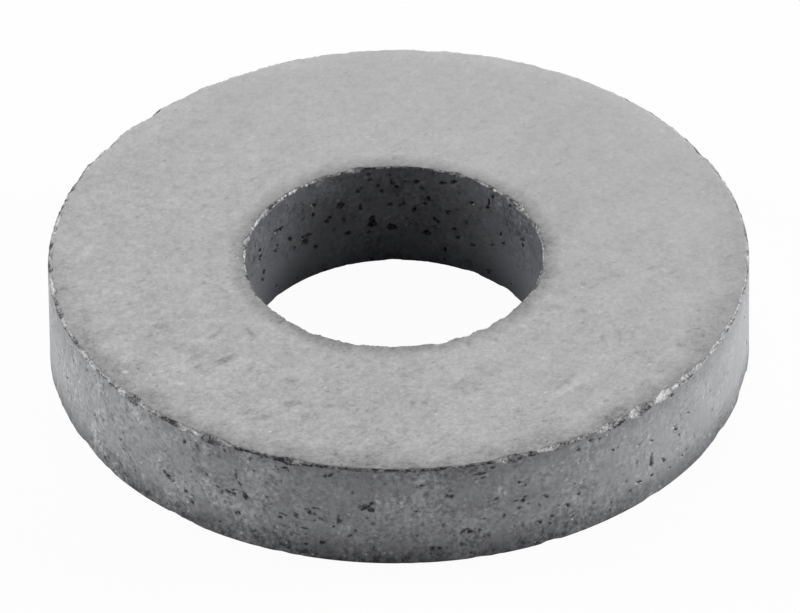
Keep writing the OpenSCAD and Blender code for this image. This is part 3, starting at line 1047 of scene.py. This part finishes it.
class RingSizes(bpy.types.PropertyGroup):
    """Sizes of the ring, its edges and its pores."""

    outer_diameter: length_setting("Outer diameter", "Diameter of the outer wall", OUTER_D)
    bore_diameter: length_setting("Bore", "Diameter of the bore", BORE_D)
    bore_offset: length_setting("Bore offset", "How far the bore sits off the middle", BORE_OFFSET)
    thickness: length_setting("Thickness", "Between the ground faces", THICKNESS)
    outer_break: length_setting("Outer break", "Width of the crumbled outer edges", 0.16 * MM)
    bore_break: length_setting("Bore break", "Width of the crumbled edges of the bore", 0.1 * MM)
    outer_crumbs: count_setting("Outer crumbs", "Small chips along each outer edge", 14)
    bore_crumbs: count_setting("Bore crumbs", "Small chips along each edge of the bore", 8)
    crumb_length: length_setting("Crumb length", "Length of the longest small chip", 0.9 * MM)
    crumb_depth: length_setting("Crumb depth", "Depth of the deepest small chip", 0.1 * MM)
    wall_pores: count_setting("Wall pores", "Small pores over the outer wall", 26)
    bore_pores: count_setting("Bore pores", "Small pores over the bore's wall", 20)
    pore_radius: length_setting("Pore radius", "Radius of the widest small pore", 0.12 * MM)


class RingColours(bpy.types.PropertyGroup):
    """Colours of the ring's finishes. Each is mottled from its dark one to its pale one."""

    ground_dark: colour_setting("Ground, dark", "Darkest of the ground faces", "797979")
    ground_pale: colour_setting("Ground, pale", "Palest of the ground faces", "e6e6e6")
    skin_dark: colour_setting("Skin, dark", "Darkest of the fired outer wall", "414245")
    skin_pale: colour_setting("Skin, pale", "Palest of the fired outer wall", "d0d1d4")
    # The pits' colours are painted shade and dirt in the pits.
    skin_pit_shade: colour_setting("Skin, pits", "Floors of the outer wall's pits", "2a2b2d")
    # The bore's colours are darker than the skin's, partly as painted shade of the bore.
    bore_dark: colour_setting("Bore, dark", "Darkest of the fired bore", "232427")
    bore_pale: colour_setting("Bore, pale", "Palest of the fired bore", "8e8f94")
    bore_pit_shade: colour_setting("Bore, pits", "Floors of the bore's pits", "020202")
    broken_dark: colour_setting("Broken, dark", "Darkest of the crumbled edges", "363638")
    broken_pale: colour_setting("Broken, pale", "Palest of the crumbled edges", "d8d8d9")


class StageSetup(bpy.types.PropertyGroup):
    """The floor, the lamps and the camera."""

    camera_height: FloatProperty(
        name="Camera angle",
        description="Angle of the camera above the horizon",
        default=math.radians(37.03),
        subtype="ANGLE",
    )
    lamp_level: FloatProperty(
        name="Lamps", description="How bright the lamps are, as a share of the usual", default=1.0
    )
    sky: FloatProperty(name="Sky", description="Strength of the even light all round", default=0.0)


class RINGMAGNET_OT_ring(bpy.types.Operator):
    """Build the ferrite ring"""

    bl_idname = "ringmagnet.ring"
    bl_label = "Ferrite Ring"

    def execute(self, context):
        dye = context.scene.ringmagnet_colours
        bm = build_ring(context.scene.ringmagnet_sizes)
        mesh = bpy.data.meshes.new("ferrite_ring")
        bm.to_mesh(mesh)
        bm.free()
        triangles = sum(len(p.vertices) - 2 for p in mesh.polygons)
        if triangles > MOST_TRIANGLES:
            raise RuntimeError("the ring has too many triangles: %d" % triangles)
        mesh.set_sharp_from_angle(angle=SHARP)
        ring = bpy.data.objects.new("ferrite_ring", mesh)
        context.scene.collection.objects.link(ring)
        for material in (
            ground_ferrite(dye.ground_dark, dye.ground_pale),
            # The outer wall gets painted shade at its foot and under its upper edge; the bore gets a
            # little painted light at its foot.
            fired_ferrite("fired_skin", dye.skin_dark, dye.skin_pale, dye.skin_pit_shade, 0.33, 1.1),
            # The bore is a darker copy of the skin, partly as painted shade.
            fired_ferrite(
                "fired_bore", dye.bore_dark, dye.bore_pale, dye.bore_pit_shade, -0.02, 2.2, painted_side_light=0.6
            ),
            broken_ferrite(dye.broken_dark, dye.broken_pale),
        ):
            ring.data.materials.append(material)
        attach(ring, "root")
        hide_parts(NODE)
        return {"FINISHED"}


class RINGMAGNET_OT_stage(bpy.types.Operator):
    """Build the floor, the lamps and the camera"""

    bl_idname = "ringmagnet.stage"
    bl_label = "Stage"

    def execute(self, context):
        setup = context.scene.ringmagnet_stage
        scene = context.scene
        build_floor(scene)
        build_sky(scene, setup.sky)
        for name, (direction, size, power) in LAMPS.items():
            lamp(scene, name, direction, size, power * setup.lamp_level)
        aim_camera(scene, setup.camera_height)
        scene.view_settings.view_transform = "Standard"
        return {"FINISHED"}


# ---------------------------------------------------------------- the stage


def rays_seen(tree, *others):
    """1 for the rays that see the white background: the camera's, those that come
    through a clear thing, and the others that are named. 0 for the rest."""
    light_path = add_node(tree, "LightPath").outputs
    seen = light_path["Is Camera Ray"]
    for other in ("Is Transmission Ray", *others):
        seen = add_node(tree, "Math", {0: seen, 1: light_path[other]}, operation="MAXIMUM")
    return seen


def build_floor(scene):
    """A wide pale floor that the camera sees white, with the shadow kept. The ring is
    matte, so its reflections see the paper as the lamps light it."""
    bm = bmesh.new()
    bmesh.ops.create_circle(bm, cap_ends=True, segments=96, radius=FLOOR_R)
    mesh = bpy.data.meshes.new("floor")
    bm.to_mesh(mesh)
    bm.free()
    mesh.transform(Matrix.Translation((0, 0, -FLOOR_GAP)))
    floor = bpy.data.objects.new("floor", mesh)
    scene.collection.objects.link(floor)
    material = new_material("pale_paper")
    tree = material.node_tree
    shown = add_node(tree, "Math", {0: rays_seen(tree), 1: 0.96}, operation="MULTIPLY")
    paper = add_node(
        tree, "Mix",
        {0: rays_seen(tree, "Is Glossy Ray"), 6: (0.86, 0.86, 0.86, 1), 7: (0.9, 0.9, 0.9, 1)},
        data_type="RGBA",
    )
    matt = add_node(tree, "BsdfDiffuse", {"Color": paper.outputs[2]})
    white = add_node(tree, "Emission", {"Color": (1, 1, 1, 1), "Strength": 1})
    both = add_node(tree, "MixShader", {0: shown, 1: matt, 2: white})
    add_node(tree, "OutputMaterial", {"Surface": both})
    mesh.materials.append(material)


def build_sky(scene, strength):
    """An even light all round, which the camera sees white."""
    world = bpy.data.worlds.new("studio")
    scene.world = world
    world.use_nodes = True
    tree = world.node_tree
    tree.nodes.clear()
    level = add_node(tree, "MapRange", {"Value": rays_seen(tree), "To Min": strength, "To Max": 1})
    sky = add_node(tree, "Background", {"Color": (1, 1, 1, 1), "Strength": level})
    add_node(tree, "OutputWorld", {"Surface": sky})


def lamp(scene, name, direction, size, power):
    """A soft lamp that faces the ring. Its direction is the angle round from the camera's
    side and the angle above the floor, and its size is width and height."""
    round_by, above = (math.radians(angle) for angle in direction)
    level = math.cos(above)
    place = LAMP_DISTANCE * Vector(
        (math.sin(round_by) * level, -math.cos(round_by) * level, math.sin(above))
    )
    data = bpy.data.lights.new(name, "AREA")
    data.shape = "RECTANGLE"
    data.size, data.size_y = size
    data.energy = power
    made = bpy.data.objects.new(name, data)
    made.location = place
    made.rotation_euler = (-place).to_track_quat("-Z", "Y").to_euler()
    made.visible_camera = False
    scene.collection.objects.link(made)


def aim_camera(scene, height_angle):
    """A long lens well back from the ring, held a little askew. It looks a little below
    the middle of the upper face."""
    radius = OUTER_D / 2
    top = Vector((0, 0, THICKNESS))
    back = Vector((0, -math.cos(height_angle), math.sin(height_angle)))
    up = Vector((0, math.sin(height_angle), math.cos(height_angle)))
    data = bpy.data.cameras.new("camera")
    data.sensor_width = 36
    data.lens = LENS
    data.clip_start = 0.05
    data.clip_end = 10
    camera = bpy.data.objects.new("camera", data)
    scene.collection.objects.link(camera)
    camera.location = top + back * CAMERA_BACK * radius
    aim = top + Vector((LOOK_RIGHT * radius, 0, 0)) - up * LOOK_BELOW * radius
    turn = (aim - camera.location).to_track_quat("-Z", "Y")
    camera.rotation_euler = (turn.to_matrix().to_4x4() @ Matrix.Rotation(ASKEW, 4, "Z")).to_euler()
    scene.camera = camera


# ---------------------------------------------------------------- the add-on


class RINGMAGNET_PT_panel(bpy.types.Panel):
    """Sizes and colours of the ring, and buttons that build it"""

    bl_label = "Ring Magnet"
    bl_space_type = "VIEW_3D"
    bl_region_type = "UI"
    bl_category = "Ring Magnet"

    def draw(self, context):
        for setting, group in SETTINGS.items():
            for name in group.__annotations__:
                self.layout.prop(getattr(context.scene, setting), name)
        self.layout.operator(RINGMAGNET_OT_ring.bl_idname)
        self.layout.operator(RINGMAGNET_OT_stage.bl_idname)


SETTINGS = {
    "ringmagnet_sizes": RingSizes,
    "ringmagnet_colours": RingColours,
    "ringmagnet_stage": StageSetup,
}
CLASSES = (*SETTINGS.values(), RINGMAGNET_OT_ring, RINGMAGNET_OT_stage, RINGMAGNET_PT_panel)


def register():
    for cls in CLASSES:
        bpy.utils.register_class(cls)
    for setting, group in SETTINGS.items():
        setattr(bpy.types.Scene, setting, PointerProperty(type=group))


def unregister():
    for setting in SETTINGS:
        delattr(bpy.types.Scene, setting)
    for cls in reversed(CLASSES):
        bpy.utils.unregister_class(cls)


def main():
    register()
    bpy.ops.ringmagnet.ring()
    bpy.ops.ringmagnet.stage()


if __name__ == "__main__":
    main()
